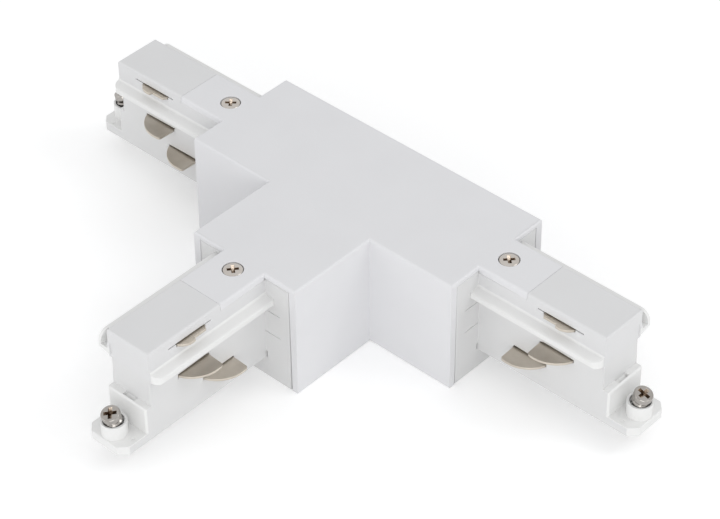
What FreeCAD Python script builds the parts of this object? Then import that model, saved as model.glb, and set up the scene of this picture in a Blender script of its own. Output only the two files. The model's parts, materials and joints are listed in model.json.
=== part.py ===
import FreeCAD, Part
import math
import os

# T-shaped connector for three-circuit lighting track.
# Origin: crossing of the bar and the stem, on the underside. X runs along the bar,
# the stem points to -Y, Z is up. Everything is in millimetres.
Vector = FreeCAD.Vector
os.makedirs("parts", exist_ok=True)

# Driving dimensions
BODY_WIDTH = 36.0           # width of the bar and of the stem, as wide as the track
BODY_REACH = 45.8           # crossing centre to each open end of the cover
BODY_HEIGHT = 35.0
COVER_WALL = 2.2
COVER_TOP = 1.4
EDGE_ROUND = 0.7            # rounding along the top edges

TONGUE_LENGTH = 15.8        # plate of the cover that reaches out over each arm
TONGUE_THICK = 2.0
COVER_SCREW_OUT = 3.9       # cover screw, measured outward from the body's end

BASE_THICK = 2.0
PANEL_THICK = 1.6           # end panel that closes the body round an arm
PANEL_RECESS = 0.05
PANEL_SEAM = 0.3            # open seam round an end panel, which lies against the far wall
ROOT_LENGTH = 10.0          # stretch of the arm inside the body

ARM_LENGTH = 40.7
ARM_HEIGHT = 28.6           # underside of the arm to the top of its cap
ARM_HALF = 6.8              # half width below the cap
ARM_WALL = 1.6
FLOOR_THICK = 1.8
CAP_HEIGHT = 9.0            # joint between arm housing and cap, below the top
CAP_AHEAD = 0.3             # how far the cap runs past the housing's front
CAP_HALF = 7.3
CAP_WALL = 1.7
CAP_TOP = 1.8
CAP_PLATE_THICK = 1.4       # plate of the cap under the cover's tongue

RIB_REACH = 10.4            # centre plane to the outer face of both guide ribs
LOW_RIB_THICK = 2.6         # near side's rib, along the cap's lower edge
LOW_RIB_RISE = 0.4          # rise of its upper face towards the wall
LOW_RIB_ROUND = 2.6         # plan rounding of its front corner
LOW_RIB_FILLET = 0.9        # where its upper face meets the wall
RIB_EDGE = 0.4              # chamfer along the near rib and the front block
HIGH_RIB_DROP = 2.6         # top of the far side's rib, below the top
HIGH_RIB_THICK = 4.4
HIGH_RIB_FALL = 1.0         # fall of its underside towards the wall
HIGH_RIB_ROUND = 3.0        # rounding of its upper front corner
HIGH_RIB_AHEAD = 0.4        # how far it runs past the cap's front
HIGH_RIB_POCKET = 3.0       # length of the open pocket at its front
HIGH_RIB_LIP = 0.9          # wall and floor of that pocket

BLADE_THICK = 0.7
BLADE_LENGTH = 10.8
BLADE_TIP = 12.2            # centre plane to the furthest point of a contact blade
BLADE_INNER = 2.6
BLADE_CORNER = 0.8
BLADE_SHOULDER = 0.8        # overlap behind the wall at each end of the slot
BLADE_LEAN = 0.3            # lean of the square trailing end
CROWN_ALONG = 0.67          # middle of the ramped edge, as shares of the blade's length
CROWN_OUT = 0.8             # and of its reach beyond the wall
LOW_BLADE_U = 11.7          # trailing end of the lower blades, outward from the body's end
HIGH_BLADE_U = 20.2
LOW_BLADE_DROP = 21.3       # underside of the lower blades, below the top
HIGH_BLADE_DROP = 14.6
EARTH_BLADE_U = 21.4
EARTH_LENGTH = 9.8
EARTH_BLADE_DROP = 3.7
EARTH_TIP = 9.3
EARTH_STEP = 0.8            # how much further the leading half stands out
EARTH_SLOT_AHEAD = 2.8      # free slot beyond the earth blade's leading end
EARTH_SLOT_BEHIND = 2.1

BAR_WIDTH = 1.7
BAR_THICK = 1.0
BAR_OFFSET = 3.2            # centre plane to the inner side of a bar
BAR_JOG = 3.0               # rise of a far bar's branch where it crosses a near bar
BAR_JOG_CLEAR = 1.6         # level run of the raised branch beside the crossed bar

BLOCK_HEIGHT = 10.9         # block low on the arm's front
BLOCK_PROUD = 2.1
NOTCH_WIDTH = 4.0
NOTCH_OUT = 1.4             # arm's front to the notch's steep side
NOTCH_DEEP = 1.5

FOOT_AHEAD = 10.6           # arm's front to the front edge of the foot
FOOT_THICK = 2.8
FOOT_CHAMFER = 2.3
BOSS_R = 3.45               # upright boss round the clamp screw's head
BOSS_HEIGHT = 6.9           # underside of the foot to the boss's rim
BOSS_BACK = 3.8             # foot's front edge back to the boss's middle
BOSS_BORE_R = 2.75
BOSS_BORE = 2.6             # depth of its bore
SCREW_TILT = 16.0           # lean of the clamp screw, outward from upright
HEAD_BACK = 2.8             # foot's front edge back to the middle of the head's top
HEAD_RISE = 9.9             # underside of the foot to the head's top
CLAMP_HEAD_R = 2.55
CLAMP_HEAD_H = 2.4
WASHER_R = 2.5
WASHER_THICK = 0.9
CLAMP_SHANK_R = 1.5
CLAMP_SHANK = 8.0           # below the washer
CLAMP_TRAVEL = 2.0          # way that the screw is driven in
TRAVEL_GAP = 0.25           # free space round and below the driven screw
NUT_DOWN = 8.6              # head top to the nut's upper face, along the screw
NUT_SIDE = 5.5              # across the flats of the hexagon
NUT_THICK = 1.8

PILLAR_SIDE = 5.4           # square pillar that takes a cover screw
COVER_HEAD_R = 2.6
COVER_HEAD_H = 1.3
COVER_SHANK_R = 1.45
COVER_SHANK = 11.0
COUNTERBORE_R = 2.85

COMB_REACH = 26.0           # crossing centre to the posts that carry the bars
COMB_THICK = 2.4
COMB_POST = 1.8
FINGER_THICK = 1.2
CLIP_WIDTH = 5.0
CLIP_THICK = 1.2
CLIP_HOOK = 0.5
CLIP_Z = 7.0
STOP_THICK = 1.2            # ribs in the cover that hold an end panel from behind
STOP_DEEP = 1.0

RECESS_WIDTH = 0.8          # cross recess of the screws
CROSS_SHARE = 0.62          # length of a slot as a share of the head's diameter
RECESS_SHARE = 0.6          # depth as a share of the head's height
FIT = 0.15                  # gap between fixed neighbours
TONGUE_FIT = 0.08           # shallow line between a tongue's end and the cap
RUN = 0.10                  # gap under and beside a sliding blade
SLOT_HEADROOM = 0.35        # dark gap above a blade
GROOVE = 0.2                # marks on the end panels
MARK_LENGTH = 5.4
MARK_DROPS = (12.1, 19.5)   # below the top
EPS = 0.01                  # overlap used when solids are joined

ARM_FLOOR_Z = BODY_HEIGHT - ARM_HEIGHT
SEAM_Z = BODY_HEIGHT - CAP_HEIGHT
HIGH_RIB_Z = BODY_HEIGHT - HIGH_RIB_DROP
LOW_BLADE_Z = BODY_HEIGHT - LOW_BLADE_DROP
HIGH_BLADE_Z = BODY_HEIGHT - HIGH_BLADE_DROP
EARTH_BLADE_Z = BODY_HEIGHT - EARTH_BLADE_DROP
BLOCK_Z = ARM_FLOOR_Z + BLOCK_HEIGHT
CAP_LENGTH = ARM_LENGTH + CAP_AHEAD
FOOT_REACH = ARM_LENGTH + FOOT_AHEAD
HALF = BODY_WIDTH / 2
INNER_HALF = HALF - COVER_WALL
CEILING_Z = BODY_HEIGHT - COVER_TOP
TONGUE_Z = BODY_HEIGHT - TONGUE_THICK
PANEL_OUT = -PANEL_RECESS
PANEL_IN = PANEL_OUT - PANEL_THICK
CAVITY_HALF = ARM_HALF - ARM_WALL
CAVITY_Z = ARM_FLOOR_Z + FLOOR_THICK
CAP_CAVITY_HALF = CAP_HALF - CAP_WALL
PILLAR_Z = TONGUE_Z - CAP_PLATE_THICK
LOW_BAR_Z = LOW_BLADE_Z - RUN - BAR_THICK
HIGH_BAR_Z = HIGH_BLADE_Z - RUN - BAR_THICK
EARTH_BAR_Z = EARTH_BLADE_Z - RUN - BAR_THICK
TILT = math.radians(SCREW_TILT)
SCREW_DOWN = Vector(-math.sin(TILT), 0, -math.cos(TILT))
HEAD_TOP = Vector(FOOT_REACH - HEAD_BACK, 0, ARM_FLOOR_Z + HEAD_RISE)
BOSS_TOP = Vector(FOOT_REACH - BOSS_BACK, 0, ARM_FLOOR_Z + BOSS_HEIGHT)
ROOT_FLOOR_Z = max(ARM_FLOOR_Z, BASE_THICK + FIT)
CAP_START = PANEL_OUT
WINDOW_TOP = EARTH_BAR_Z + BAR_THICK + 2 * FIT
LOW_BLADE_END = LOW_BLADE_U + BLADE_LENGTH + BLADE_SHOULDER
HIGH_BLADE_END = HIGH_BLADE_U + BLADE_LENGTH + BLADE_SHOULDER
EARTH_POST_U = HIGH_BLADE_END + 2 * FIT


# Small helpers
def block(x0, x1, y0, y1, z0, z1):
    """Box between two corners."""
    return Part.makeBox(x1 - x0, y1 - y0, z1 - z0, Vector(x0, y0, z0))


def prism(points, direction):
    """Closed outline pushed along a direction."""
    wire = Part.makePolygon(points + [points[0]])
    return Part.Face(wire).extrude(direction)


def rod(start, direction, radius, length):
    return Part.makeCylinder(radius, length, start, direction)


def round_edges(shape, radius, wanted):
    """Round the edges whose middle point passes the test."""
    edges = [edge for edge in shape.Edges if wanted(edge, edge.CenterOfMass)]
    return shape.makeFillet(radius, edges)


def cut_edges(shape, size, wanted):
    """Chamfer the edges whose middle point passes the test."""
    edges = [edge for edge in shape.Edges if wanted(edge, edge.CenterOfMass)]
    return shape.makeChamfer(size, edges)


def upright(edge):
    box = edge.BoundBox
    return box.ZLength > 0.5 and box.XLength < 0.01 and box.YLength < 0.01


def mirrored(shape):
    return shape.mirror(Vector(0, 0, 0), Vector(0, 1, 0))


def both_sides(shape):
    return [shape, mirrored(shape)]


def save(shape, name):
    shape = shape.removeSplitter()
    if len(shape.Solids) == 1:
        shape = shape.Solids[0]
    shape.exportStep("parts/" + name + ".step")


# Arm frame: X outward from the body's end, Y towards the side with the low rib, Z up.
def place_left(shape):
    moved = shape.copy()
    moved.translate(Vector(BODY_REACH, 0, 0))
    moved.rotate(Vector(0, 0, 0), Vector(0, 0, 1), 180)
    return moved


def place_stem(shape):
    moved = shape.copy()
    moved.translate(Vector(BODY_REACH, 0, 0))
    moved.rotate(Vector(0, 0, 0), Vector(0, 0, 1), -90)
    return moved


def place_right(shape):
    moved = shape.copy()
    moved.translate(Vector(BODY_REACH, 0, 0))
    return moved.mirror(Vector(0, 0, 0), Vector(0, 1, 0))


ARMS = {"left": place_left, "right": place_right, "stem": place_stem}


# Body
def tee(half, reach, z0, z1):
    """T outline of a given half width and reach, between two heights."""
    outline = [
        Vector(-reach, half, z0),
        Vector(-reach, -half, z0),
        Vector(-half, -half, z0),
        Vector(-half, -reach, z0),
        Vector(half, -reach, z0),
        Vector(half, -half, z0),
        Vector(reach, -half, z0),
        Vector(reach, half, z0),
    ]
    return prism(outline, Vector(0, 0, z1 - z0))


def on_every_arm(shape):
    return [place(shape) for place in ARMS.values()]


def outward(point):
    """Distance from the crossing towards the nearest arm."""
    return max(abs(point.x), -point.y)


def panel_stops():
    """Two upright ribs inside the cover, just behind an end panel."""
    back = PANEL_IN - FIT
    foot_z = CLIP_Z + 2 * CLIP_THICK
    inner = INNER_HALF - STOP_DEEP
    one = block(back - STOP_THICK, back, inner, INNER_HALF + EPS, foot_z, CEILING_Z + EPS)
    return one.fuse(mirrored(one))


def clip_places():
    """Where the base clips into the cover: a point on the inner wall and the way out."""
    side = COMB_REACH + COMB_THICK + CLIP_WIDTH
    places = [(Vector(0, INNER_HALF, 0), Vector(0, 1, 0))]
    for sign in (-1, 1):
        places.append((Vector(sign * side, INNER_HALF, 0), Vector(0, 1, 0)))
        places.append((Vector(sign * side, -INNER_HALF, 0), Vector(0, -1, 0)))
        places.append((Vector(sign * INNER_HALF, -side, 0), Vector(sign, 0, 0)))
    return places


def at_clips(shape):
    """Copies of a shape drawn with +Y outward, one at each clip."""
    copies = []
    for point, way_out in clip_places():
        copy = shape.copy()
        angle = math.degrees(math.atan2(way_out.y, way_out.x)) - 90
        copy.rotate(Vector(0, 0, 0), Vector(0, 0, 1), angle)
        copy.translate(point)
        copies.append(copy)
    return copies


def cover():
    shell = tee(HALF, BODY_REACH, 0, BODY_HEIGHT)
    tongue = block(-COVER_WALL, TONGUE_LENGTH, -CAP_HALF, CAP_HALF, TONGUE_Z, BODY_HEIGHT)
    shell = shell.fuse(on_every_arm(tongue)).removeSplitter()
    tongue_end = BODY_REACH + TONGUE_LENGTH - EPS
    top = BODY_HEIGHT - EPS
    shell = round_edges(shell, EDGE_ROUND, lambda e, m: m.z > top and outward(m) < tongue_end)
    shell = shell.cut(tee(INNER_HALF, BODY_REACH + FIT, -1, CEILING_Z))
    shell = shell.fuse(on_every_arm(panel_stops()))
    bore_z = BODY_HEIGHT - COVER_HEAD_H
    up = Vector(0, 0, 1)
    screw_place = Vector(COVER_SCREW_OUT, 0, bore_z)
    hole = rod(screw_place - up * BODY_HEIGHT, up, COVER_SHANK_R + FIT, BODY_HEIGHT)
    bore = rod(screw_place, up, COUNTERBORE_R, COVER_TOP)
    half = CLIP_WIDTH / 2 + FIT
    recess = block(-half, half, -EPS, CLIP_HOOK + FIT, CLIP_Z - FIT, CLIP_Z + CLIP_THICK + FIT)
    return shell.cut(on_every_arm(hole) + on_every_arm(bore) + at_clips(recess))


def comb(levels):
    """Post with a finger under each bar, beside the bars on the +Y side of an arm."""
    inner = BAR_OFFSET + BAR_WIDTH + FIT
    tip = BAR_OFFSET + BAR_WIDTH / 3
    half = COMB_THICK / 2
    post = block(-half, half, inner, inner + COMB_POST, BASE_THICK - EPS, levels[-1])
    fingers = [block(-half, half, tip, inner + EPS, z - FINGER_THICK, z) for z in levels]
    return post.fuse(fingers)


def base_clip():
    """Upright tab with a hook, its outer face just inside the cover's wall."""
    left = -CLIP_WIDTH / 2
    side = [
        Vector(left, -FIT - CLIP_THICK, BASE_THICK - EPS),
        Vector(left, -FIT, BASE_THICK - EPS),
        Vector(left, -FIT, CLIP_Z),
        Vector(left, CLIP_HOOK - FIT, CLIP_Z),
        Vector(left, -FIT, CLIP_Z + CLIP_THICK),
        Vector(left, -FIT - CLIP_THICK, CLIP_Z + CLIP_THICK),
    ]
    return prism(side, Vector(CLIP_WIDTH, 0, 0))


def base_plate():
    plate = tee(INNER_HALF - FIT, BODY_REACH + PANEL_IN - FIT, 0, BASE_THICK)
    near = comb([LOW_BAR_Z, HIGH_BAR_Z, EARTH_BAR_Z])
    far = mirrored(comb([LOW_BAR_Z, HIGH_BAR_Z]))
    for post in (near, far):
        post.translate(Vector(COMB_REACH - BODY_REACH, 0, 0))
    return plate.fuse(on_every_arm(near) + on_every_arm(far) + at_clips(base_clip()))


# Arm
def near_rib():
    """Guide rib along the cap's lower edge on the +Y side, rounded at its front corner."""
    root = CAP_HALF - CAP_WALL / 2
    flank = RIB_REACH - RIB_EDGE
    shoulder = SEAM_Z + LOW_RIB_THICK - LOW_RIB_RISE
    bend = LOW_RIB_FILLET * (1 - math.sqrt(0.5))
    top = SEAM_Z + LOW_RIB_THICK
    wall_foot = Vector(CAP_START, CAP_HALF, top + LOW_RIB_FILLET)
    middle = Vector(CAP_START, CAP_HALF + bend, top + bend)
    rib_foot = Vector(CAP_START, CAP_HALF + LOW_RIB_FILLET, top)
    outline = lines_through([
        rib_foot,
        Vector(CAP_START, flank, shoulder),
        Vector(CAP_START, RIB_REACH, shoulder - RIB_EDGE),
        Vector(CAP_START, RIB_REACH, SEAM_Z + RIB_EDGE),
        Vector(CAP_START, flank, SEAM_Z),
        Vector(CAP_START, root, SEAM_Z),
        Vector(CAP_START, root, top + LOW_RIB_FILLET),
        wall_foot,
    ])
    outline.append(Part.Arc(wall_foot, middle, rib_foot).toShape())
    bar = Part.Face(Part.Wire(outline)).extrude(Vector(CAP_LENGTH - CAP_START, 0, 0))
    plan = block(CAP_START, CAP_LENGTH, root, RIB_REACH, SEAM_Z, top + LOW_RIB_FILLET)
    corner = RIB_REACH - EPS
    plan = round_edges(plan, LOW_RIB_ROUND, lambda e, m: m.x > CAP_LENGTH - EPS and m.y > corner)
    return bar.common(plan)


def far_rib():
    """Higher guide rib on the -Y side, with an open pocket behind its rounded front."""
    root = CAP_HALF - CAP_WALL / 2
    under = HIGH_RIB_Z - HIGH_RIB_THICK
    front = CAP_LENGTH + HIGH_RIB_AHEAD
    section = [
        Vector(CAP_START, -root, under - HIGH_RIB_FALL),
        Vector(CAP_START, -RIB_REACH, under),
        Vector(CAP_START, -RIB_REACH, HIGH_RIB_Z),
        Vector(CAP_START, -root, HIGH_RIB_Z),
    ]
    bar = prism(section, Vector(front - CAP_START, 0, 0))
    high = HIGH_RIB_Z - EPS
    bar = round_edges(bar, HIGH_RIB_ROUND, lambda e, m: m.x > front - EPS and m.z > high)
    inner = HIGH_RIB_LIP - RIB_REACH
    back = front - HIGH_RIB_POCKET
    floor = under + HIGH_RIB_LIP
    return bar.cut(block(back, front + 1, inner, -CAP_HALF, floor, BODY_HEIGHT))


def blade_slot(start, length, z0, half):
    """Cut through the +Y wall for a blade that slides in and out."""
    return block(start - FIT, start + length + FIT, half - ARM_HALF / 2, half + 1,
                 z0 - RUN, z0 + BLADE_THICK + SLOT_HEADROOM)


def bar_ledges():
    """Steps along both walls on which the phase bars lie, and the earth bar's post."""
    inner = BAR_OFFSET - FIT
    wall = CAVITY_HALF + EPS
    floor = CAVITY_Z - EPS
    low_end = LOW_BLADE_END + FIT
    low = block(-ROOT_LENGTH, low_end, inner, wall, floor, LOW_BAR_Z)
    high = block(low_end + BLADE_SHOULDER, EARTH_POST_U, inner, wall, floor, HIGH_BAR_Z)
    post = block(EARTH_POST_U, EARTH_POST_U + COMB_THICK, inner, wall, floor, EARTH_BAR_Z)
    return both_sides(low) + both_sides(high) + [post]


def end_panel():
    """Plate that closes the cover's end round the arm."""
    near = INNER_HALF - PANEL_SEAM
    return block(PANEL_IN, PANEL_OUT, -INNER_HALF, near, 0, CEILING_Z - PANEL_SEAM)


def panel_marks():
    """Two short shallow grooves and a small slot on each side of the arm."""
    marks = []
    for drop in MARK_DROPS:
        z = BODY_HEIGHT - drop
        end = ARM_HALF + MARK_LENGTH
        marks += both_sides(block(PANEL_OUT - GROOVE, PANEL_OUT + 1, ARM_HALF, end, z, z + GROOVE))
    side = ARM_HALF + 2 * GROOVE
    slot = block(PANEL_IN - 1, PANEL_OUT + 1, ARM_HALF, side, ARM_FLOOR_Z, CAVITY_Z + GROOVE)
    return marks + both_sides(slot)


def foot():
    """Chamfered plate beyond the arm's front, with the boss of the clamp screw."""
    start = ARM_LENGTH - ARM_WALL
    corner = FOOT_REACH - FOOT_CHAMFER
    side = ARM_HALF - FOOT_CHAMFER
    outline = [
        Vector(start, ARM_HALF, ARM_FLOOR_Z),
        Vector(corner, ARM_HALF, ARM_FLOOR_Z),
        Vector(FOOT_REACH, side, ARM_FLOOR_Z),
        Vector(FOOT_REACH, -side, ARM_FLOOR_Z),
        Vector(corner, -ARM_HALF, ARM_FLOOR_Z),
        Vector(start, -ARM_HALF, ARM_FLOOR_Z),
    ]
    plate = prism(outline, Vector(0, 0, FOOT_THICK))
    return plate.fuse(rod(BOSS_TOP, Vector(0, 0, -1), BOSS_R, BOSS_HEIGHT))


def front_block():
    front = ARM_LENGTH + BLOCK_PROUD
    solid = block(ARM_LENGTH - EPS, front, -ARM_HALF, ARM_HALF, ARM_FLOOR_Z, BLOCK_Z)
    return cut_edges(solid, RIB_EDGE, lambda e, m: m.x > front - EPS and m.z > ARM_FLOOR_Z + 1)


def front_notch():
    """Notch in the front block's top; its floor falls away from the arm to the steep side."""
    steep = ARM_LENGTH + NOTCH_OUT
    side = -NOTCH_WIDTH / 2
    section = [
        Vector(ARM_LENGTH, side, BLOCK_Z + EPS),
        Vector(ARM_LENGTH, side, BLOCK_Z - NOTCH_DEEP / 3),
        Vector(steep, side, BLOCK_Z - NOTCH_DEEP),
        Vector(steep, side, BLOCK_Z + EPS),
    ]
    return prism(section, Vector(0, NOTCH_WIDTH, 0))


def leaning_hexagon(down, half, length):
    """Hexagonal bar on the clamp screw's axis, a given way below the head's top."""
    radius = half / math.cos(math.radians(30))
    corners = []
    for step in range(6):
        angle = math.radians(30 + 60 * step)
        corners.append(Vector(radius * math.cos(angle), radius * math.sin(angle), 0))
    bar = prism(corners, Vector(0, 0, -length))
    bar.rotate(Vector(0, 0, 0), Vector(0, 1, 0), SCREW_TILT)
    bar.translate(HEAD_TOP + SCREW_DOWN * down)
    return bar


def clamp_bores():
    """Upright bore of the boss, and the leaning ways for the ring, the shank and the nut."""
    bore = rod(BOSS_TOP, Vector(0, 0, -1), BOSS_BORE_R, BOSS_BORE)
    driven = CLAMP_HEAD_H + WASHER_THICK + CLAMP_TRAVEL + TRAVEL_GAP
    ring_way = rod(HEAD_TOP, SCREW_DOWN, WASHER_R + TRAVEL_GAP, driven)
    hole = rod(HEAD_TOP, SCREW_DOWN, CLAMP_SHANK_R + RUN, 2 * HEAD_RISE)
    return [bore, ring_way, hole, leaning_hexagon(NUT_DOWN, NUT_SIDE / 2 + FIT, 2 * HEAD_RISE)]


def arm_housing():
    shell = block(PANEL_IN, ARM_LENGTH, -ARM_HALF, ARM_HALF, ARM_FLOOR_Z, SEAM_Z)
    root = block(-ROOT_LENGTH, PANEL_IN + EPS, -ARM_HALF, ARM_HALF, ROOT_FLOOR_Z, SEAM_Z)
    shell = shell.fuse([root, end_panel(), foot(), front_block()])
    inner_end = ARM_LENGTH - ARM_WALL
    cavity = block(-ROOT_LENGTH - 1, inner_end, -CAVITY_HALF, CAVITY_HALF, CAVITY_Z, WINDOW_TOP)
    shell = shell.cut([cavity] + panel_marks())
    up = Vector(0, 0, 1)
    side = PILLAR_SIDE / 2
    near = COVER_SCREW_OUT - side
    far = COVER_SCREW_OUT + side
    pillar = block(near, far, -side, side, CAVITY_Z - EPS, PILLAR_Z)
    shell = shell.fuse([pillar] + bar_ledges())
    screw_tip = BODY_HEIGHT - COVER_HEAD_H - COVER_SHANK
    pilot = rod(Vector(COVER_SCREW_OUT, 0, screw_tip - 1), up, COVER_SHANK_R, BODY_HEIGHT)
    low_slot = blade_slot(LOW_BLADE_U, BLADE_LENGTH, LOW_BLADE_Z, ARM_HALF)
    high_slot = blade_slot(HIGH_BLADE_U, BLADE_LENGTH, HIGH_BLADE_Z, ARM_HALF)
    slots = both_sides(low_slot) + both_sides(high_slot)
    return shell.cut([pilot, front_notch()] + clamp_bores() + slots)


def arm_cap():
    cap = block(CAP_START, CAP_LENGTH, -CAP_HALF, CAP_HALF, SEAM_Z, BODY_HEIGHT)
    top = BODY_HEIGHT - EPS
    cap = round_edges(cap, EDGE_ROUND, lambda e, m: m.z > top and m.x > CAP_START + EPS)
    cap = cap.fuse([near_rib(), far_rib()])
    inner_end = CAP_LENGTH - CAP_WALL
    seat_end = TONGUE_LENGTH + TONGUE_FIT
    seat = block(CAP_START - 1, seat_end, -HALF, HALF, TONGUE_Z, BODY_HEIGHT + 1)
    low = block(CAP_START - 1, inner_end, -CAP_CAVITY_HALF, CAP_CAVITY_HALF, SEAM_Z - 1, PILLAR_Z)
    high_start = seat_end + CAP_PLATE_THICK
    ceiling = BODY_HEIGHT - CAP_TOP
    high = block(high_start, inner_end, -CAP_CAVITY_HALF, CAP_CAVITY_HALF, PILLAR_Z - 1, ceiling)
    hole = rod(Vector(COVER_SCREW_OUT, 0, SEAM_Z), Vector(0, 0, 1), COVER_SHANK_R + FIT, BODY_HEIGHT)
    slot = blade_slot(EARTH_BLADE_U, EARTH_LENGTH, EARTH_BLADE_Z, CAP_HALF)
    slit_end = EARTH_BLADE_U + EARTH_LENGTH + EARTH_SLOT_AHEAD
    slit_z = EARTH_BLADE_Z + BLADE_THICK
    slit = block(EARTH_BLADE_U - EARTH_SLOT_BEHIND, slit_end, CAP_CAVITY_HALF - EPS, CAP_HALF + 1,
                 slit_z, slit_z + SLOT_HEADROOM)
    return cap.cut([seat, low, high, hole, slot, slit])


# Contacts
def blade_from(outline, z0):
    return Part.Face(Part.Wire(outline)).extrude(Vector(0, 0, BLADE_THICK))


def blade_plate(start, length, wall, nose_start, nose_end, z0):
    """Corners of a blade's inner plate, from the nose's leading foot round to its trailing foot."""
    shoulder = wall - FIT
    end = start + length
    return [
        nose_end,
        Vector(end, shoulder, z0),
        Vector(end + BLADE_SHOULDER, shoulder, z0),
        Vector(end + BLADE_SHOULDER, BLADE_INNER, z0),
        Vector(start - BLADE_SHOULDER, BLADE_INNER, z0),
        Vector(start - BLADE_SHOULDER, shoulder, z0),
        Vector(start, shoulder, z0),
        nose_start,
    ]


def lines_through(points):
    return [Part.makeLine(a, b) for a, b in zip(points, points[1:])]


def phase_blade(start, z0):
    """Flat contact with a D-shaped nose: square at the trailing end, ramped at the leading end."""
    reach = BLADE_TIP - ARM_HALF
    corner = Vector(start + BLADE_LEAN, BLADE_TIP, z0)
    crown = Vector(start + BLADE_LENGTH * CROWN_ALONG, ARM_HALF + reach * CROWN_OUT, z0)
    lead = Vector(start + BLADE_LENGTH, ARM_HALF - RUN, z0)
    ramp = Part.Arc(corner, crown, lead).toShape()
    plate = lines_through(blade_plate(start, BLADE_LENGTH, CAVITY_HALF, corner, lead, z0))
    blade = blade_from([ramp] + plate, z0)
    return round_edges(
        blade, BLADE_CORNER, lambda e, m: upright(e) and m.sub(corner).Length < BLADE_THICK
    )


def earth_blade():
    """Low contact under the cap's edge, stepped halfway along."""
    z0 = EARTH_BLADE_Z
    end = EARTH_BLADE_U + EARTH_LENGTH
    middle = EARTH_BLADE_U + EARTH_LENGTH / 2
    trail_tip = EARTH_TIP - EARTH_STEP
    foot = Vector(EARTH_BLADE_U, CAP_HALF - RUN, z0)
    lead = Vector(end, CAP_HALF - RUN, z0)
    trail = Vector(EARTH_BLADE_U + EARTH_STEP, trail_tip, z0)
    step_foot = Vector(middle, trail_tip, z0)
    step_top = Vector(middle + BLADE_LEAN, EARTH_TIP, z0)
    nose = lines_through([foot, trail, step_foot, step_top])
    crown_v = CAP_HALF + (EARTH_TIP - CAP_HALF) * CROWN_OUT
    crown = Vector(middle + (end - middle) * CROWN_ALONG, crown_v, z0)
    ramp = Part.Arc(step_top, crown, lead).toShape()
    plate = lines_through(blade_plate(EARTH_BLADE_U, EARTH_LENGTH, CAP_CAVITY_HALF, foot, lead, z0))
    return blade_from(nose + [ramp] + plate, z0)


def bar_along_x(side, end, z0):
    """Bar through the crossing, on the -Y side (-1) or the +Y side (+1)."""
    inner = side * BAR_OFFSET
    outer = side * (BAR_OFFSET + BAR_WIDTH)
    return block(-end, end, min(inner, outer), max(inner, outer), z0, z0 + BAR_THICK)


def near_bar(arm_end, z0):
    """Bar of one circuit on the side of the low ribs, with its branch into the stem."""
    end = BODY_REACH + arm_end
    branch = block(BAR_OFFSET, BAR_OFFSET + BAR_WIDTH, -end, -BAR_OFFSET, z0, z0 + BAR_THICK)
    return bar_along_x(-1, end, z0).fuse(branch)


def far_bar(arm_end, z0):
    """Bar of one circuit on the other side; its branch rises over the near bar."""
    end = BODY_REACH + arm_end
    x = -BAR_OFFSET - BAR_WIDTH
    near_side = BAR_OFFSET + BAR_WIDTH + BAR_JOG_CLEAR
    far_side = BAR_OFFSET - BAR_JOG_CLEAR
    lower = [
        Vector(x, -end, z0),
        Vector(x, -near_side - BAR_JOG, z0),
        Vector(x, -near_side, z0 + BAR_JOG),
        Vector(x, -far_side, z0 + BAR_JOG),
        Vector(x, BAR_JOG - far_side, z0),
        Vector(x, BAR_OFFSET + BAR_WIDTH, z0),
    ]
    upper = [point + Vector(0, 0, BAR_THICK) for point in reversed(lower)]
    branch = prism(lower + upper, Vector(BAR_WIDTH, 0, 0))
    return bar_along_x(1, end, z0).fuse(branch)


# Fasteners
def cross_screw(head_r, head_h, shank_r, shank):
    """Screw with a cross recess, standing along Z; the top of its head is at height 0."""
    down = Vector(0, 0, -1)
    head = rod(Vector(0, 0, 0), down, head_r, head_h)
    screw = head.fuse(rod(Vector(0, 0, EPS - head_h), down, shank_r, shank + EPS))
    long = CROSS_SHARE * head_r
    half = RECESS_WIDTH / 2
    deep = RECESS_SHARE * head_h
    slot = block(-long, long, -half, half, -deep, head_h)
    across = block(-half, half, -long, long, -deep, head_h)
    return screw.cut([slot, across])


def cover_screw():
    screw = cross_screw(COVER_HEAD_R, COVER_HEAD_H, COVER_SHANK_R - RUN / 2, COVER_SHANK)
    screw.translate(Vector(COVER_SCREW_OUT, 0, BODY_HEIGHT))
    return screw


def clamp_screw():
    shank = WASHER_THICK + CLAMP_SHANK
    screw = cross_screw(CLAMP_HEAD_R, CLAMP_HEAD_H, CLAMP_SHANK_R, shank)
    screw.rotate(Vector(0, 0, 0), Vector(0, 1, 0), SCREW_TILT)
    screw.translate(HEAD_TOP)
    return screw


def clamp_washer():
    top = HEAD_TOP + SCREW_DOWN * CLAMP_HEAD_H
    ring = rod(top, SCREW_DOWN, WASHER_R, WASHER_THICK)
    return ring.cut(rod(top - SCREW_DOWN, SCREW_DOWN, CLAMP_SHANK_R + RUN / 2, WASHER_THICK + 2))


def clamp_nut():
    nut = leaning_hexagon(NUT_DOWN, NUT_SIDE / 2, NUT_THICK)
    return nut.cut(rod(HEAD_TOP, SCREW_DOWN, CLAMP_SHANK_R + RUN / 2, NUT_DOWN + NUT_THICK + 1))


# All pieces
def arm_pieces():
    """Every piece of one arm in the arm frame, by name."""
    pieces = {
        "arm_housing": arm_housing(),
        "arm_cap": arm_cap(),
        "clamp_screw": clamp_screw(),
        "clamp_washer": clamp_washer(),
        "clamp_nut": clamp_nut(),
        "earth_blade": earth_blade(),
    }
    for level, start, z0 in (("low", LOW_BLADE_U, LOW_BLADE_Z), ("high", HIGH_BLADE_U, HIGH_BLADE_Z)):
        blade = phase_blade(start, z0)
        pieces["blade_near_" + level] = blade
        pieces["blade_far_" + level] = mirrored(blade)
    return pieces


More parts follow.
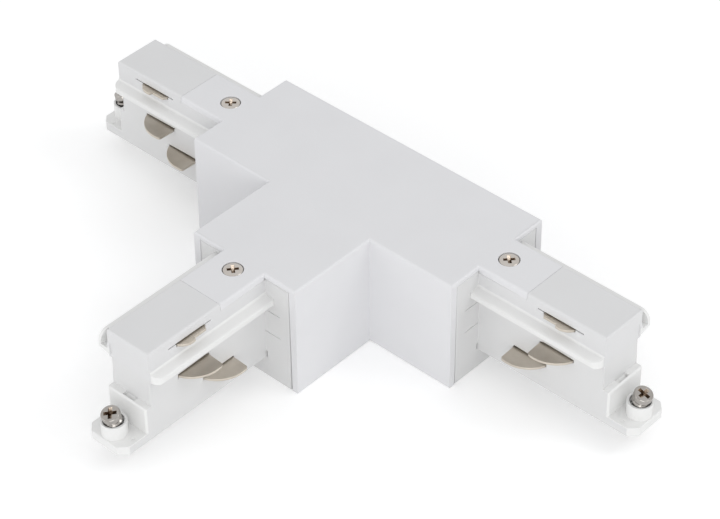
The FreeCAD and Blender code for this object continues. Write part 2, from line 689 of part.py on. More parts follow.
def main():
    save(cover(), "cover")
    save(base_plate(), "base_plate")
    for name, piece in arm_pieces().items():
        for arm, place in ARMS.items():
            save(place(piece), name + "_" + arm)
    cover_screws = Part.makeCompound(on_every_arm(cover_screw()))
    cover_screws.exportStep("parts/cover_screws.step")
    save(near_bar(LOW_BLADE_END, LOW_BAR_Z), "bar_near_low")
    save(far_bar(LOW_BLADE_END, LOW_BAR_Z), "bar_far_low")
    save(near_bar(EARTH_POST_U, HIGH_BAR_Z), "bar_near_high")
    save(far_bar(EARTH_POST_U, HIGH_BAR_Z), "bar_far_high")
    save(near_bar(EARTH_POST_U + COMB_THICK, EARTH_BAR_Z), "earth_bar")


main()
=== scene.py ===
# %% [markdown]
# # A T-shaped connector for lighting track
# The real connector joins three lengths of ceiling track. A white cover shaped like a T carries three
# arms, and each arm slides into the end of a track: sprung contacts touch the conductors at its sides,
# two ribs guide it, and a leaning screw at the tip clamps it. The solids come from the CAD model as a
# fixed frame. This lesson dresses them: soft moulded edges, white plastics, nickel and bronze, and
# modelled screws.

# %% Load the frame
import json
import math

import bpy
import bmesh
from mathutils import Matrix, Vector

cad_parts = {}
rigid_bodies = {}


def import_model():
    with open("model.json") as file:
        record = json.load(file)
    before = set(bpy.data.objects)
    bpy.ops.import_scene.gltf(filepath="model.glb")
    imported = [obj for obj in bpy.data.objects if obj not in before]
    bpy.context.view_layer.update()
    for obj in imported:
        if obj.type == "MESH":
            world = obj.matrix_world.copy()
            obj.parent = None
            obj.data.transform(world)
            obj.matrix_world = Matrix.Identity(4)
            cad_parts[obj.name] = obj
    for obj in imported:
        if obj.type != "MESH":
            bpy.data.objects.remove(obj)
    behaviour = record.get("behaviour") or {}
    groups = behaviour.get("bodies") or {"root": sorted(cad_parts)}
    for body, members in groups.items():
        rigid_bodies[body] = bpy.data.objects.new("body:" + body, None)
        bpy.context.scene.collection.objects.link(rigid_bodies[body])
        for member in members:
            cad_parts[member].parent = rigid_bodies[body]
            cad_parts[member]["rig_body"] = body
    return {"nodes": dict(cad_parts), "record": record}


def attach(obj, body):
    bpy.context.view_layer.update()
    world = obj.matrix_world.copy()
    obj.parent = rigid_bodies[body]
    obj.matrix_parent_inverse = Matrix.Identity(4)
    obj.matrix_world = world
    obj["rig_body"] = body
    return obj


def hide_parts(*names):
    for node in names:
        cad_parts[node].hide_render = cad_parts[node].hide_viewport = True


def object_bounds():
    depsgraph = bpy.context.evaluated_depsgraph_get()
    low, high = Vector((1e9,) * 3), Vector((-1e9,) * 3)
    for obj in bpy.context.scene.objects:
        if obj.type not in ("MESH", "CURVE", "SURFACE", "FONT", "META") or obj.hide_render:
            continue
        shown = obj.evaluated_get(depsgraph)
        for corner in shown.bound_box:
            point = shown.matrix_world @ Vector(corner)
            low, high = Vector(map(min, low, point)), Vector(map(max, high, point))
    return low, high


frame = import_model()
cad_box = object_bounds()
nodes = frame["nodes"]
MM = 0.001
ARMS = ("left", "right", "stem")

# %% [markdown]
# ## Camera
# The photograph was taken from above, a little to the right of the stem, with a long lens. The angles
# and the lens were fitted to the corners of the body, so the render can be laid over the photograph.

# %% Camera at the photograph's angle
AZIMUTH = math.radians(42.674)
ELEVATION = math.radians(40.382)
ROLL = math.radians(-0.50)
DISTANCE = 0.70608
AIM = Vector((-0.003722, 0.001920, 0.003331))
LENS = 129.144
SENSOR = 36
NEAREST = 0.01
FARTHEST = 20


def camera_axes(azimuth, elevation, roll):
    """Right, up and back directions of a camera that circles the object."""
    flat = math.cos(elevation)
    back = Vector((math.sin(azimuth) * flat, -math.cos(azimuth) * flat, math.sin(elevation)))
    level = Vector((math.cos(azimuth), math.sin(azimuth), 0))
    upright = back.cross(level)
    right = level * math.cos(roll) + upright * math.sin(roll)
    return right, back.cross(right), back


right, up, back = camera_axes(AZIMUTH, ELEVATION, ROLL)
camera_data = bpy.data.cameras.new("camera")
camera_data.lens = LENS
camera_data.sensor_width = SENSOR
camera_data.clip_start = NEAREST
camera_data.clip_end = FARTHEST
camera = bpy.data.objects.new("camera", camera_data)
facing = Matrix((right, up, back)).transposed().to_4x4()
camera.matrix_world = Matrix.Translation(AIM + back * DISTANCE) @ facing
bpy.context.scene.collection.objects.link(camera)
bpy.context.scene.camera = camera
bpy.context.scene.view_settings.view_transform = "Standard"
print("camera", [round(v, 3) for v in camera.location])

# %% [markdown]
# ## Light and floor
# The connector stands in a bright white tent, so light comes from all round and the shadows are faint.
# A white world does most of the work. Three wide lamps give the faces their order: a key lamp behind on
# the right, a strong low one in front on the right and a weak one in front on the left. The floor adds
# some light of its own for camera and mirror rays, so it stays white while the shadow under the arms is
# kept.

# %% White world
WORLD_LEVEL = 0.76
WORLD_COLOUR = (0.99, 0.995, 1.0, 1)
WHITE = (1, 1, 1, 1)


def white_world(level):
    """World that lights the object at a level and shows white to camera, mirror and glass rays."""
    world = bpy.data.worlds.new("white_tent")
    world.use_nodes = True
    tree = world.node_tree
    tree.nodes.clear()
    output = tree.nodes.new("ShaderNodeOutputWorld")
    mix = tree.nodes.new("ShaderNodeMixShader")
    light = tree.nodes.new("ShaderNodeBackground")
    seen = tree.nodes.new("ShaderNodeBackground")
    path = tree.nodes.new("ShaderNodeLightPath")
    light.inputs["Strength"].default_value = level
    light.inputs["Color"].default_value = WORLD_COLOUR
    seen.inputs["Strength"].default_value = 1.0
    seen.inputs["Color"].default_value = WHITE
    either = tree.nodes.new("ShaderNodeMath")
    either.operation = "MAXIMUM"
    either_too = tree.nodes.new("ShaderNodeMath")
    either_too.operation = "MAXIMUM"
    tree.links.new(path.outputs["Is Camera Ray"], either.inputs[0])
    tree.links.new(path.outputs["Is Transmission Ray"], either.inputs[1])
    tree.links.new(either.outputs[0], either_too.inputs[0])
    tree.links.new(path.outputs["Is Glossy Ray"], either_too.inputs[1])
    tree.links.new(either_too.outputs[0], mix.inputs[0])
    tree.links.new(light.outputs[0], mix.inputs[1])
    tree.links.new(seen.outputs[0], mix.inputs[2])
    tree.links.new(mix.outputs[0], output.inputs["Surface"])
    bpy.context.scene.world = world


white_world(WORLD_LEVEL)

# %% Soft lamps
LAMP_AIM = Vector((0, -0.03, 0.02))


def soft_lamp(name, place, size, power):
    """Wide square lamp that looks at the connector."""
    data = bpy.data.lights.new(name, "AREA")
    data.shape = "SQUARE"
    data.size = size
    data.energy = power
    lamp = bpy.data.objects.new(name, data)
    lamp.location = place
    lamp.rotation_euler = (LAMP_AIM - Vector(place)).to_track_quat("-Z", "Y").to_euler()
    bpy.context.scene.collection.objects.link(lamp)


soft_lamp("key_lamp", (0.52, 0.34, 0.66), 0.35, 0.95)
soft_lamp("fill_lamp", (0.65, -0.72, 0.25), 0.70, 3.2)
soft_lamp("left_lamp", (-0.50, -0.70, 0.30), 0.60, 0.8)

# %% Pale floor
FLOOR_COLOUR = (0.92, 0.92, 0.92, 1)
FLOOR_LIFT = 0.22
FLOOR_SIZE = 8


def floor_material():
    """Diffuse floor that adds a fixed amount of white for camera and mirror rays."""
    material = bpy.data.materials.new("pale_floor")
    material.use_nodes = True
    tree = material.node_tree
    tree.nodes.clear()
    output = tree.nodes.new("ShaderNodeOutputMaterial")
    total = tree.nodes.new("ShaderNodeAddShader")
    diffuse = tree.nodes.new("ShaderNodeBsdfDiffuse")
    glow = tree.nodes.new("ShaderNodeEmission")
    path = tree.nodes.new("ShaderNodeLightPath")
    seen = tree.nodes.new("ShaderNodeMath")
    seen.operation = "MAXIMUM"
    lift = tree.nodes.new("ShaderNodeMath")
    lift.operation = "MULTIPLY"
    lift.inputs[1].default_value = FLOOR_LIFT
    diffuse.inputs["Color"].default_value = FLOOR_COLOUR
    tree.links.new(path.outputs["Is Camera Ray"], seen.inputs[0])
    tree.links.new(path.outputs["Is Glossy Ray"], seen.inputs[1])
    tree.links.new(seen.outputs[0], lift.inputs[0])
    tree.links.new(lift.outputs[0], glow.inputs["Strength"])
    tree.links.new(diffuse.outputs[0], total.inputs[0])
    tree.links.new(glow.outputs[0], total.inputs[1])
    tree.links.new(total.outputs[0], output.inputs["Surface"])
    return material


def clear_selection():
    """Nothing selected and no active object: the frame arrives with all its nodes selected."""
    for thing in bpy.context.view_layer.objects:
        thing.select_set(False)
    bpy.context.view_layer.objects.active = None


clear_selection()
bpy.ops.mesh.primitive_plane_add(size=FLOOR_SIZE, location=(0, 0, cad_box[0].z))
floor = bpy.context.active_object
floor.name = "floor"
floor.data.materials.append(floor_material())

# %% [markdown]
# ## Plastics
# Every plastic is a white moulding. The cover has a fine spark-eroded grain, which takes the shine
# away, and its white is a little cool. The caps and the arms are smoother. Ribs, feet and the low fronts
# of the arms get a lighter copy of the plastic: painted light, for the light that shines through thin
# walls and bounces between them. The grain is one node group, used in each material with its own scale
# and depth, and it reads Object coordinates so that it stays put in every view. A second group adds the
# faint flow marks of the moulding: long soft drifts of tone and gloss, which keep a wide white face from
# looking like paper.

# %% Grain and flow shared by the mouldings


def add_sockets(group, inputs, outputs):
    """Named sockets on a node group: inputs with their values, then outputs."""
    for name, kind, value in inputs:
        socket = group.interface.new_socket(name, in_out="INPUT", socket_type=kind)
        socket.default_value = value
    for name, kind in outputs:
        group.interface.new_socket(name, in_out="OUTPUT", socket_type=kind)


def grain_group():
    """Fine grain: a height for the bump and a tone between 0 and 1."""
    group = bpy.data.node_groups.new("moulding_grain", "ShaderNodeTree")
    add_sockets(group, [("Scale", "NodeSocketFloat", 4000.0)],
                [("Height", "NodeSocketFloat"), ("Tone", "NodeSocketFloat")])
    start = group.nodes.new("NodeGroupInput")
    end = group.nodes.new("NodeGroupOutput")
    place = group.nodes.new("ShaderNodeTexCoord")
    fine = group.nodes.new("ShaderNodeTexNoise")
    fine.inputs["Detail"].default_value = 2.0
    slow = group.nodes.new("ShaderNodeTexNoise")
    slow.inputs["Scale"].default_value = 60.0
    slow.inputs["Detail"].default_value = 3.0
    blend = group.nodes.new("ShaderNodeMath")
    blend.operation = "MULTIPLY_ADD"
    blend.inputs[1].default_value = 0.25
    group.links.new(place.outputs["Object"], fine.inputs["Vector"])
    group.links.new(place.outputs["Object"], slow.inputs["Vector"])
    group.links.new(start.outputs["Scale"], fine.inputs["Scale"])
    group.links.new(fine.outputs["Fac"], end.inputs["Height"])
    group.links.new(fine.outputs["Fac"], blend.inputs[0])
    group.links.new(slow.outputs["Fac"], blend.inputs[2])
    group.links.new(blend.outputs[0], end.inputs["Tone"])
    return group


def flow_group():
    """Slow marks of the melt's flow: a roughness between two values."""
    group = bpy.data.node_groups.new("moulding_flow", "ShaderNodeTree")
    add_sockets(group, [("Smooth", "NodeSocketFloat", 0.4), ("Rough", "NodeSocketFloat", 0.5)],
                [("Roughness", "NodeSocketFloat")])
    start = group.nodes.new("NodeGroupInput")
    end = group.nodes.new("NodeGroupOutput")
    place = group.nodes.new("ShaderNodeTexCoord")
    drift = group.nodes.new("ShaderNodeTexNoise")
    drift.inputs["Scale"].default_value = 110.0
    drift.inputs["Distortion"].default_value = 0.8
    between = group.nodes.new("ShaderNodeMapRange")
    between.inputs["From Min"].default_value = 0.35
    between.inputs["From Max"].default_value = 0.65
    group.links.new(place.outputs["Object"], drift.inputs["Vector"])
    group.links.new(drift.outputs["Fac"], between.inputs["Value"])
    group.links.new(start.outputs["Smooth"], between.inputs["To Min"])
    group.links.new(start.outputs["Rough"], between.inputs["To Max"])
    group.links.new(between.outputs["Result"], end.inputs["Roughness"])
    return group


GRAIN = grain_group()
FLOW = flow_group()

# %% White plastics
PLASTIC_IOR = 1.49


def white_plastic(name, dark, light, scale, depth, smooth, rough):
    """Moulded plastic: the grain drives the bump and a very small change of tone."""
    material = bpy.data.materials.new(name)
    material.use_nodes = True
    tree = material.node_tree
    shader = tree.nodes["Principled BSDF"]
    grain = tree.nodes.new("ShaderNodeGroup")
    grain.node_tree = GRAIN
    grain.inputs["Scale"].default_value = scale
    flow = tree.nodes.new("ShaderNodeGroup")
    flow.node_tree = FLOW
    flow.inputs["Smooth"].default_value = smooth
    flow.inputs["Rough"].default_value = rough
    tone = tree.nodes.new("ShaderNodeMix")
    tone.data_type = "RGBA"
    tone.inputs["A"].default_value = dark
    tone.inputs["B"].default_value = light
    bump = tree.nodes.new("ShaderNodeBump")
    bump.inputs["Distance"].default_value = depth
    bump.inputs["Strength"].default_value = 1.0
    shader.inputs["IOR"].default_value = PLASTIC_IOR
    tree.links.new(grain.outputs["Tone"], tone.inputs["Factor"])
    tree.links.new(tone.outputs["Result"], shader.inputs["Base Color"])
    tree.links.new(flow.outputs["Roughness"], shader.inputs["Roughness"])
    tree.links.new(grain.outputs["Height"], bump.inputs["Height"])
    tree.links.new(bump.outputs["Normal"], shader.inputs["Normal"])
    return material


COVER_PLASTIC = white_plastic("cover_plastic", (0.715, 0.715, 0.73, 1), (0.755, 0.755, 0.77, 1),
                              3500, 0.00002, 0.50, 0.60)
CAP_PLASTIC = white_plastic("cap_plastic", (0.675, 0.675, 0.68, 1), (0.71, 0.71, 0.715, 1),
                            1800, 0.00001, 0.38, 0.48)
ARM_PLASTIC = white_plastic("arm_plastic", (0.68, 0.68, 0.68, 1), (0.71, 0.71, 0.71, 1),
                            1500, 0.00001, 0.36, 0.46)
# Painted light: a lighter, slightly warm copy of the plastic, for light through thin walls and between
# them.
PAINTED_LIGHT_PLASTIC = white_plastic("thin_plastic", (0.775, 0.775, 0.768, 1), (0.805, 0.805, 0.797, 1),
                             1500, 0.00001, 0.34, 0.44)
print("plastics", [made.name for made in (COVER_PLASTIC, CAP_PLASTIC, ARM_PLASTIC, PAINTED_LIGHT_PLASTIC)])

# %% [markdown]
# ## Metals
# The contacts are stamped from nickel-plated bronze and are a dull warm grey with drawn lines. The
# cover screws are bright nickel. The clamp screws have a darker base: painted dark reflection, for the
# dark surroundings that their heads mirror. The faces of their cross recesses are darker still: painted
# shade, for the shade deep in the recess. One group gives all of them fine lines, stretched along an
# axis, and a cloudy tone; each metal has its own scale, stretch and depth.

# %% Drawn lines shared by the metals


def streak_group():
    """Fine lines along one axis of the object's own space, and a cloudy tone."""
    group = bpy.data.node_groups.new("drawn_lines", "ShaderNodeTree")
    add_sockets(group, [("Scale", "NodeSocketFloat", 2500.0),
                        ("Stretch", "NodeSocketVector", (0.05, 1, 1))],
                [("Height", "NodeSocketFloat"), ("Tone", "NodeSocketFloat")])
    start = group.nodes.new("NodeGroupInput")
    end = group.nodes.new("NodeGroupOutput")
    place = group.nodes.new("ShaderNodeTexCoord")
    stretch = group.nodes.new("ShaderNodeVectorMath")
    stretch.operation = "MULTIPLY"
    lines = group.nodes.new("ShaderNodeTexNoise")
    lines.inputs["Detail"].default_value = 3.0
    cloud = group.nodes.new("ShaderNodeTexNoise")
    cloud.inputs["Scale"].default_value = 300.0
    group.links.new(place.outputs["Object"], stretch.inputs[0])
    group.links.new(start.outputs["Stretch"], stretch.inputs[1])
    group.links.new(stretch.outputs[0], lines.inputs["Vector"])
    group.links.new(start.outputs["Scale"], lines.inputs["Scale"])
    group.links.new(place.outputs["Object"], cloud.inputs["Vector"])
    group.links.new(lines.outputs["Fac"], end.inputs["Height"])
    group.links.new(cloud.outputs["Fac"], end.inputs["Tone"])
    return group


STREAKS = streak_group()

# %% Nickel, contact bronze and copper


def plated_metal(name, dark, light, scale, stretch, depth, roughness):
    """Metal whose tone drifts slowly and whose fine lines come from the streak group."""
    material = bpy.data.materials.new(name)
    material.use_nodes = True
    tree = material.node_tree
    shader = tree.nodes["Principled BSDF"]
    streaks = tree.nodes.new("ShaderNodeGroup")
    streaks.node_tree = STREAKS
    streaks.inputs["Scale"].default_value = scale
    streaks.inputs["Stretch"].default_value = stretch
    tone = tree.nodes.new("ShaderNodeMix")
    tone.data_type = "RGBA"
    tone.inputs["A"].default_value = dark
    tone.inputs["B"].default_value = light
    bump = tree.nodes.new("ShaderNodeBump")
    bump.inputs["Distance"].default_value = depth
    shader.inputs["Metallic"].default_value = 1.0
    shader.inputs["Roughness"].default_value = roughness
    tree.links.new(streaks.outputs["Tone"], tone.inputs["Factor"])
    tree.links.new(tone.outputs["Result"], shader.inputs["Base Color"])
    tree.links.new(streaks.outputs["Height"], bump.inputs["Height"])
    tree.links.new(bump.outputs["Normal"], shader.inputs["Normal"])
    return material


EVEN = (1, 1, 1)
DRAWN = (0.05, 1, 1)
NICKEL = plated_metal("nickel", (0.46, 0.42, 0.38, 1), (0.60, 0.57, 0.54, 1),
                      2500, EVEN, 0.00001, 0.20)
# Painted dark reflection: nickel like the cover screws, with a darker base for the dark surroundings that
# the clamp heads mirror.
CLAMP_NICKEL_PAINTED_REFLECTION = plated_metal("clamp_nickel", (0.27, 0.25, 0.23, 1), (0.47, 0.45, 0.43, 1),
                     2500, EVEN, 0.00001, 0.18)
# Painted shade: a darker base for the faces of the cross recesses, for the shade deep inside them.
RECESS_PAINTED_SHADE = plated_metal("oiled_recess", (0.24, 0.19, 0.15, 1), (0.55, 0.48, 0.41, 1),
                      1400, EVEN, 0.00008, 0.18)
CONTACT = plated_metal("contact_bronze", (0.52, 0.47, 0.40, 1), (0.66, 0.61, 0.54, 1),
                       2500, DRAWN, 0.00001, 0.42)
COPPER = plated_metal("copper", (0.60, 0.34, 0.22, 1), (0.72, 0.45, 0.30, 1),
                      2000, DRAWN, 0.00001, 0.35)

# %% Give each CAD node its finish
FINISH = {"cover_plastic": COVER_PLASTIC, "arm_plastic": ARM_PLASTIC, "nickel": NICKEL,
          "contact": CONTACT, "copper_bar": COPPER}
slot_of = {part["node"]: part["material_slot"] for part in frame["record"]["subparts"]}


def finish_of(name):
    """The caps share the arms' slot, but have a plastic of their own."""
    return CAP_PLASTIC if name.startswith("arm_cap") else FINISH[slot_of[name]]


for name, node in nodes.items():
    node.data.materials.clear()
    node.data.materials.append(finish_of(name))
print("dressed", len(nodes))

# %% [markdown]
# ## Soft edges on the mouldings
# No moulded or stamped edge is perfectly sharp: a radius of a few tenths of a millimetre at most catches
# a thin line of light. The CAD solids have sharp edges there, to keep their files small. Each moulding is
# copied, its loose triangles are merged into whole faces, and its outer edges are bevelled in edit
# mode. A bevel modifier would have to be narrow enough for the narrowest groove, so the edges are
# chosen in code instead: convex ones, with room beside them at both ends. The long ones get the wider
# bevel, and then the others get the narrow one.

# %% Select, merge and soften
WELD = 0.000001
FLAT = math.radians(0.5)
SHARP = math.radians(40)
SMOOTH = math.radians(42)
ROOM = 2.3


def only(piece):
    """The piece selected and active, and nothing else."""
    clear_selection()
    piece.select_set(True)
    bpy.context.view_layer.objects.active = piece


def pick(piece, kind, wanted):
    """In edit mode, select the faces, edges or verts that pass a test, and count them."""
    bpy.ops.mesh.select_mode(type={"faces": "FACE", "edges": "EDGE", "verts": "VERT"}[kind])
    bpy.ops.mesh.select_all(action="DESELECT")
    mesh = bmesh.from_edit_mesh(piece.data)
    chosen = [part for part in getattr(mesh, kind) if wanted(part)]
    for part in chosen:
        part.select_set(True)
    bmesh.update_edit_mesh(piece.data)
    return len(chosen)


def merged_copy(name, start):
    """Copy of a CAD node with its loose triangles merged into whole faces."""
    piece = bpy.data.objects.new(start + name, nodes[name].data.copy())
    bpy.context.scene.collection.objects.link(piece)
    only(piece)
    bpy.ops.mesh.customdata_custom_splitnormals_clear()
    bpy.ops.object.mode_set(mode="EDIT")
    bpy.ops.mesh.select_all(action="SELECT")
    bpy.ops.mesh.remove_doubles(threshold=WELD)
    bpy.ops.mesh.dissolve_limited(angle_limit=FLAT)
    bpy.ops.object.mode_set(mode="OBJECT")
    return piece


def has_room(edge, width, shortest):
    """Sharp, convex and long enough, with every neighbour able to take the bevel's end."""
    if not edge.is_manifold or edge.calc_face_angle_signed() < SHARP:
        return False
    if edge.calc_length() < shortest:
        return False
    near = {other for corner in edge.verts for other in corner.link_edges}
    return min(other.calc_length() for other in near) > ROOM * width


def soften(piece, width, shortest=0):
    """Bevel the edges that are long enough and have room beside them."""
    only(piece)
    bpy.ops.object.mode_set(mode="EDIT")
    count = pick(piece, "edges", lambda edge: has_room(edge, width, shortest))
    bpy.ops.mesh.bevel(offset=width, segments=3, affect="EDGES", clamp_overlap=False)
    bpy.ops.object.mode_set(mode="OBJECT")
    return count


def smooth(piece):
    """Round faces smooth and flat faces flat."""
    only(piece)
    bpy.ops.object.shade_smooth_by_angle(angle=SMOOTH)
    bpy.ops.object.modifier_add(type="WEIGHTED_NORMAL")
    piece.modifiers[-1].keep_sharp = True
    bpy.ops.object.modifier_apply(modifier=piece.modifiers[-1].name)


def stand_for(piece, name):
    """The piece rides with the body of the node that it replaces, and the node is hidden."""
    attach(piece, nodes[name]["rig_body"])
    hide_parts(name)


def open_edges(piece):
    """Edges without exactly two faces: a closed moulding has none."""
    mesh = bmesh.new()
    mesh.from_mesh(piece.data)
    count = sum(1 for edge in mesh.edges if not edge.is_manifold)
    mesh.free()
    return count


# %% Cover, caps and housings
BODY_END = 45.8
OUTWARD = {"left": Vector((-1, 0, 0)), "right": Vector((1, 0, 0)), "stem": Vector((0, -1, 0))}
NEAR = {"left": Vector((0, -1, 0)), "right": Vector((0, -1, 0)), "stem": Vector((1, 0, 0))}
WIDE_EDGE = 0.35 * MM
FINE_EDGE = 0.15 * MM
LONG = 6 * MM
PIN_SIDES = 24
PIN_RADIUS = 0.6 * MM
PIN_LENGTH = 0.4 * MM
PIN_PLACE = (46.5, 5.6, 9.2)


def cut_away(piece, cutter):
    """Subtract a cutter, whose finish goes to the faces that it cuts."""
    only(piece)
    bpy.ops.object.modifier_add(type="BOOLEAN")
    cut = piece.modifiers[-1]
    cut.operation = "DIFFERENCE"
    cut.object = cutter
    cut.solver = "EXACT"
    cut.material_mode = "TRANSFER"
    bpy.ops.object.modifier_apply(modifier=cut.name)
    bpy.data.objects.remove(cutter)


def on_arm(arm, out, side, height):
    """Point given in millimetres out of the body's end, towards the near side, and up."""
    return (OUTWARD[arm] * (BODY_END + out) + NEAR[arm] * side + Vector((0, 0, height))) * MM


def pin_mark(piece, arm):
    """Round mark of an ejector pin in the foot's top."""
    clear_selection()
    bpy.ops.mesh.primitive_cylinder_add(vertices=PIN_SIDES, radius=PIN_RADIUS, depth=PIN_LENGTH,
                                        location=on_arm(arm, *PIN_PLACE))
    pin = bpy.context.active_object
    bpy.ops.object.transform_apply(location=True, rotation=True, scale=True)
    # The faces that the pin cuts take the lighter plastic: painted light.
    pin.data.materials.append(PAINTED_LIGHT_PLASTIC)
    cut_away(piece, pin)


def lighten(piece, wanted):
    """Give the lighter plastic, painted light, to the faces that pass a test."""
    piece.data.materials.append(PAINTED_LIGHT_PLASTIC)
    painted_light = piece.data.materials.find(PAINTED_LIGHT_PLASTIC.name)
    for face in piece.data.polygons:
        if wanted(face.center):
            face.material_index = painted_light


def moulding(name, painted_light=None, arm=None):
    """Softened copy of a node; the face test picks the faces of the lighter plastic, painted light, and
    arm sets the pin mark.
    """
    piece = merged_copy(name, "moulded_")
    if arm:
        pin_mark(piece, arm)
    count = soften(piece, WIDE_EDGE, LONG) + soften(piece, FINE_EDGE)
    if painted_light:
        lighten(piece, painted_light)
    smooth(piece)
    stand_for(piece, name)
    print(piece.name, "soft edges", count, "faces", len(piece.data.polygons), "open", open_edges(piece))


CAP_SIDE = 7.4 * MM
FRONT = (BODY_END + 40.75) * MM
BLOCK_TOP = 17.6 * MM
moulding("cover")
# Painted light: the faces beyond the caps' sides (the ribs) and the low front of each housing take the
# lighter plastic.
for arm, way in OUTWARD.items():
    across = NEAR[arm]
    moulding("arm_cap_" + arm, lambda place: abs(place.dot(across)) > CAP_SIDE)
    moulding("arm_housing_" + arm,
             lambda place: place.dot(way) > FRONT and place.z < BLOCK_TOP, arm)

# %% [markdown]
# ## Contacts
# Each contact is punched from sheet, so one edge is rolled over and bright. The same way works here
# with a narrower bevel: a copy, merged, with softened edges.

# %% Stamped blades
STAMP_EDGE = 0.09 * MM
for name in sorted(nodes):
    if slot_of[name] == "contact":
        piece = merged_copy(name, "stamped_")
        soften(piece, STAMP_EDGE)
        smooth(piece)
        stand_for(piece, name)
print("stamped", sum(1 for name in nodes if slot_of[name] == "contact"))

# %% [markdown]
# ## Screws
# A screw is turned, threaded and pressed, so its model is made in that order. A disc is extruded and
# resized step by step, as a lathe would leave it, with a crest for every turn of the thread. The cross
# recess is a wedge with four wings, subtracted by a boolean modifier, which hands the darker finish,
# painted shade for the deep recess, to the faces that it cuts. The recess gets a narrow bevel at its
# mouth, where the photograph shows glints.

# %% Turned parts
SIDES = 48


def turned(name, profile, metal, closed=False):
    """Disc extruded along Z and resized at every (radius, height) of the profile, in millimetres."""
    clear_selection()
    radius, height = profile[0]
    fill = "NOTHING" if closed else "NGON"
    bpy.ops.mesh.primitive_circle_add(vertices=SIDES, radius=radius * MM, fill_type=fill,
                                      location=(0, 0, 0))
    piece = bpy.context.active_object
    piece.name = name
    bpy.ops.object.mode_set(mode="EDIT")
    bpy.ops.mesh.select_all(action="SELECT")
    bpy.ops.transform.translate(value=(0, 0, height * MM))
    for (before, low), (after, high) in zip(profile, profile[1:]):
        bpy.ops.mesh.extrude_region_move(TRANSFORM_OT_translate={"value": (0, 0, (high - low) * MM)})
        bpy.ops.transform.resize(value=(after / before, after / before, 1), center_override=(0, 0, 0))
    bpy.ops.mesh.select_all(action="SELECT")
    bpy.ops.mesh.remove_doubles(threshold=WELD)
    bpy.ops.mesh.normals_make_consistent(inside=False)
    bpy.ops.object.mode_set(mode="OBJECT")
    piece.data.materials.append(metal)
    return piece


def thread(crest, root, low, high, pitch):
    """Profile of a thread between two heights: crest and root in turn."""
    turns = round((high - low) / pitch)
    step = (high - low) / turns
    steps = []
    for turn in range(turns):
        steps += [(root, low + step * turn), (crest, low + step * (turn + 0.5))]
    return steps + [(root, high)]


# %% Cross recess
MOUTH = 0.06 * MM
ABOVE = 0.2
ALONG = 0.9
ON_AXIS = 0.1 * MM


def on_way(face, way):
    """The face looks along a way and lies on it: the sides of the other wings look that way too."""
    beside = abs(face.calc_center_median().cross(way).z)
    return face.normal.dot(way) > ALONG and beside < ON_AXIS


def cross_wedge(reach, half, depth, foot):
    """Four-winged wedge, point down: a cube with each side drawn out and its foot drawn in."""
    clear_selection()
    bpy.ops.mesh.primitive_cube_add(size=1, location=(0, 0, 0))
    wedge = bpy.context.active_object
    bpy.ops.object.mode_set(mode="EDIT")
    bpy.ops.mesh.select_all(action="SELECT")
    bpy.ops.transform.resize(value=(2 * half * MM, 2 * half * MM, (depth + ABOVE) * MM))
    bpy.ops.transform.translate(value=(0, 0, (ABOVE - depth) / 2 * MM))
    for way in (Vector((1, 0, 0)), Vector((-1, 0, 0)), Vector((0, 1, 0)), Vector((0, -1, 0))):
        pick(wedge, "faces", lambda face: on_way(face, way))
        bpy.ops.mesh.extrude_region_move(TRANSFORM_OT_translate={"value": way * (reach - half) * MM})
    pick(wedge, "verts", lambda vert: vert.co.z < 0)
    bpy.ops.transform.resize(value=(foot, foot, 1), center_override=(0, 0, 0))
    bpy.ops.object.mode_set(mode="OBJECT")
    # The wedge hands its darker finish, painted shade, to the recess faces.
    wedge.data.materials.append(RECESS_PAINTED_SHADE)
    return wedge


def press_recess(piece, wedge):
    """Subtract the wedge, and soften the mouth of the recess."""
    cut_away(piece, wedge)
    only(piece)
    bpy.ops.object.mode_set(mode="EDIT")
    pick(piece, "edges", lambda edge: len({face.material_index for face in edge.link_faces}) > 1)
    bpy.ops.mesh.bevel(offset=MOUTH, segments=2, affect="EDGES", clamp_overlap=False)
    bpy.ops.object.mode_set(mode="OBJECT")
    smooth(piece)


def placed_copy(piece, name, matrix):
    """Copy with its own mesh, put in place, with the place then moved into the mesh."""
    copy = bpy.data.objects.new(name, piece.data.copy())
    bpy.context.scene.collection.objects.link(copy)
    copy.matrix_world = matrix
    only(copy)
    bpy.ops.object.transform_apply(location=True, rotation=True, scale=True)
    return copy


# %% Cover screws
COVER_SCREW_OUT = 3.9
BODY_TOP = 35.0
COVER_TURN = {"left": 40, "right": 47, "stem": 50}

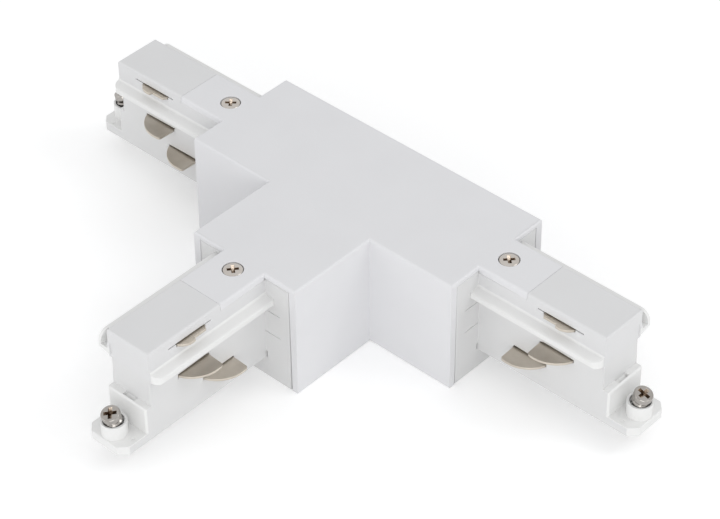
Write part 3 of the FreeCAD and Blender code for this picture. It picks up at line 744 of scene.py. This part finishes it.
cover_head = [(2.6, -1.3), (2.68, -1.2), (2.68, -0.32), (2.6, -0.2), (2.42, -0.12), (2.2, -0.05),
              (1.95, -0.01), (1.85, 0)]
cover_profile = [(0.9, -12.3)] + thread(1.4, 1.15, -12.2, -1.3, 0.9) + cover_head
cover_screw = turned("cover_screw_pattern", cover_profile, NICKEL)
press_recess(cover_screw, cross_wedge(1.7, 0.50, 1.6, 0.35))
for arm in ARMS:
    place = Matrix.Translation(on_arm(arm, COVER_SCREW_OUT, 0, BODY_TOP))
    turn = Matrix.Rotation(math.radians(COVER_TURN[arm]), 4, "Z")
    piece = placed_copy(cover_screw, "turned_cover_screw_" + arm, place @ turn)
    stand_for(piece, "cover_screws")
bpy.data.objects.remove(cover_screw)

# %% Clamp screws and their rings
HEAD_OUT = 48.5
HEAD_Z = 16.3
SCREW_TILT = math.radians(16)
CLAMP_TURN = {"left": 10, "right": 0, "stem": 42}

head_profile = [(2.45, -1.6), (2.55, -1.5), (2.55, -0.28), (2.47, -0.1), (2.3, 0)]
neck_profile = thread(2.3, 1.85, -2.4, -1.6, 0.8)
clamp_profile = [(1.0, -11.3)] + thread(1.5, 1.25, -11.1, -2.4, 0.5) + neck_profile + head_profile
clamp_screw = turned("clamp_screw_pattern", clamp_profile, CLAMP_NICKEL_PAINTED_REFLECTION)
press_recess(clamp_screw, cross_wedge(1.85, 0.55, 1.7, 0.35))
ring_profile = [(1.56, -3.3), (2.1, -3.3)] + thread(2.45, 2.0, -3.25, -2.45, 0.8)
ring_profile += [(2.1, -2.4), (1.56, -2.4), (1.56, -3.3)]
clamp_ring = turned("clamp_ring_pattern", ring_profile, CLAMP_NICKEL_PAINTED_REFLECTION, closed=True)
smooth(clamp_ring)
for arm, way in OUTWARD.items():
    place = Matrix.Translation(on_arm(arm, HEAD_OUT, 0, HEAD_Z))
    lean = Matrix.Rotation(SCREW_TILT, 4, Vector((0, 0, 1)).cross(way))
    turn = Matrix.Rotation(math.radians(CLAMP_TURN[arm]), 4, "Z")
    matrix = place @ lean @ turn
    stand_for(placed_copy(clamp_screw, "turned_clamp_screw_" + arm, matrix), "clamp_screw_" + arm)
    stand_for(placed_copy(clamp_ring, "turned_clamp_ring_" + arm, matrix), "clamp_washer_" + arm)
bpy.data.objects.remove(clamp_screw)
bpy.data.objects.remove(clamp_ring)
